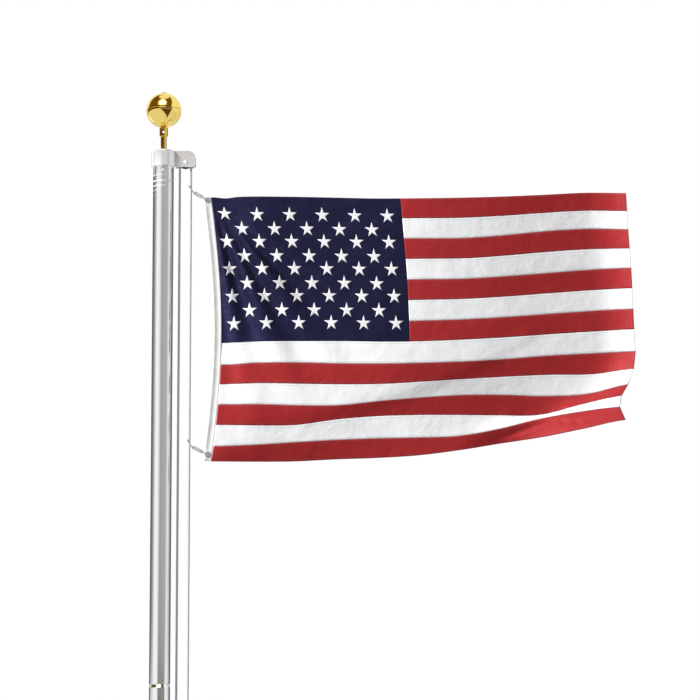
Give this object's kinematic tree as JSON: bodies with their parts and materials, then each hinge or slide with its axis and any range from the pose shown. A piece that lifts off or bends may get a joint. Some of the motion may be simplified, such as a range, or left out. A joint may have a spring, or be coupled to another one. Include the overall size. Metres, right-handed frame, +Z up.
{
  "type": "flagpole",
  "caption": "Sectional aluminium flagpole with ball finial, side-sheave truck, looped halyard on a cleat, and a stitched flag that runs up and down it.",
  "frame": {"origin": "pole axis at ground level, on the pole's flat foot", "axes": "+Z up along the pole, +X towards the pulley housing and the flag, -Y towards the side the flag is seen from"},
  "size_m": [1.6812, 0.122, 6.32],
  "materials": {
    "gold": "gold anodised and polished",
    "cast_satin": "cast, satin ground",
    "tube": "satin anodised tube",
    "rubber": "matt black",
    "pvc": "smooth white pipe",
    "steel": "zinc plated",
    "nylon": "turned nylon",
    "rope": "braided polyester",
    "brass": "nickel-plated brass",
    "canvas": "white canvas tape",
    "navy_cloth": "navy nylon",
    "red_cloth": "red nylon",
    "white_cloth": "white nylon"
  },
  "bodies": {
    "pole": {"ball_upper_half": "gold", "ball_lower_half": "gold", "ball_plug": "gold", "ferrule": "gold", "ferrule_set_screw": "steel", "spindle": "gold", "truck": "cast_satin", "truck_screws": "cast_satin", "sheave_pin": "cast_satin", "pole_section_1": "tube", "pole_section_2": "tube", "pole_section_3": "tube", "pole_section_4": "tube", "pole_plug": "rubber", "ground_sleeve": "pvc", "centring_ring": "rubber", "cleat": "cast_satin", "cleat_screws": "steel", "halyard_bend": "rope", "halyard_inner_fall": "rope", "halyard_outer_fall": "rope", "halyard_cleat_turns": "rope"},
    "sheave": {"sheave": "nylon"},
    "flag": {"upper_snap_eye": "steel", "upper_snap_hook": "steel", "lower_snap_eye": "steel", "lower_snap_hook": "steel", "snap_bolts": "steel", "upper_grommet": "brass", "lower_grommet": "brass", "header": "canvas", "canton": "navy_cloth", "stripe_1": "red_cloth", "stripe_2": "white_cloth", "stripe_3": "red_cloth", "stripe_4": "white_cloth", "stripe_5": "red_cloth", "stripe_6": "white_cloth", "stripe_7": "red_cloth", "stripe_8": "white_cloth", "stripe_9": "red_cloth", "stripe_10": "white_cloth", "stripe_11": "red_cloth", "stripe_12": "white_cloth", "stripe_13": "red_cloth"}
  },
  "joints": [
    {"name": "flag_hoist", "type": "slide", "parent": "pole", "child": "flag", "axis": [0, 0, 1], "range_m": [-3.55, 0]},
    {"name": "sheave_spin", "type": "hinge", "parent": "pole", "child": "sheave", "pos_m": [0.0758, 0, 6.07], "axis": [0, 1, 0], "continuous": true}
  ],
  "couplings": [
    {"joint": "sheave_spin", "follows": "flag_hoist", "rad_per_m": -52.083}
  ]
}
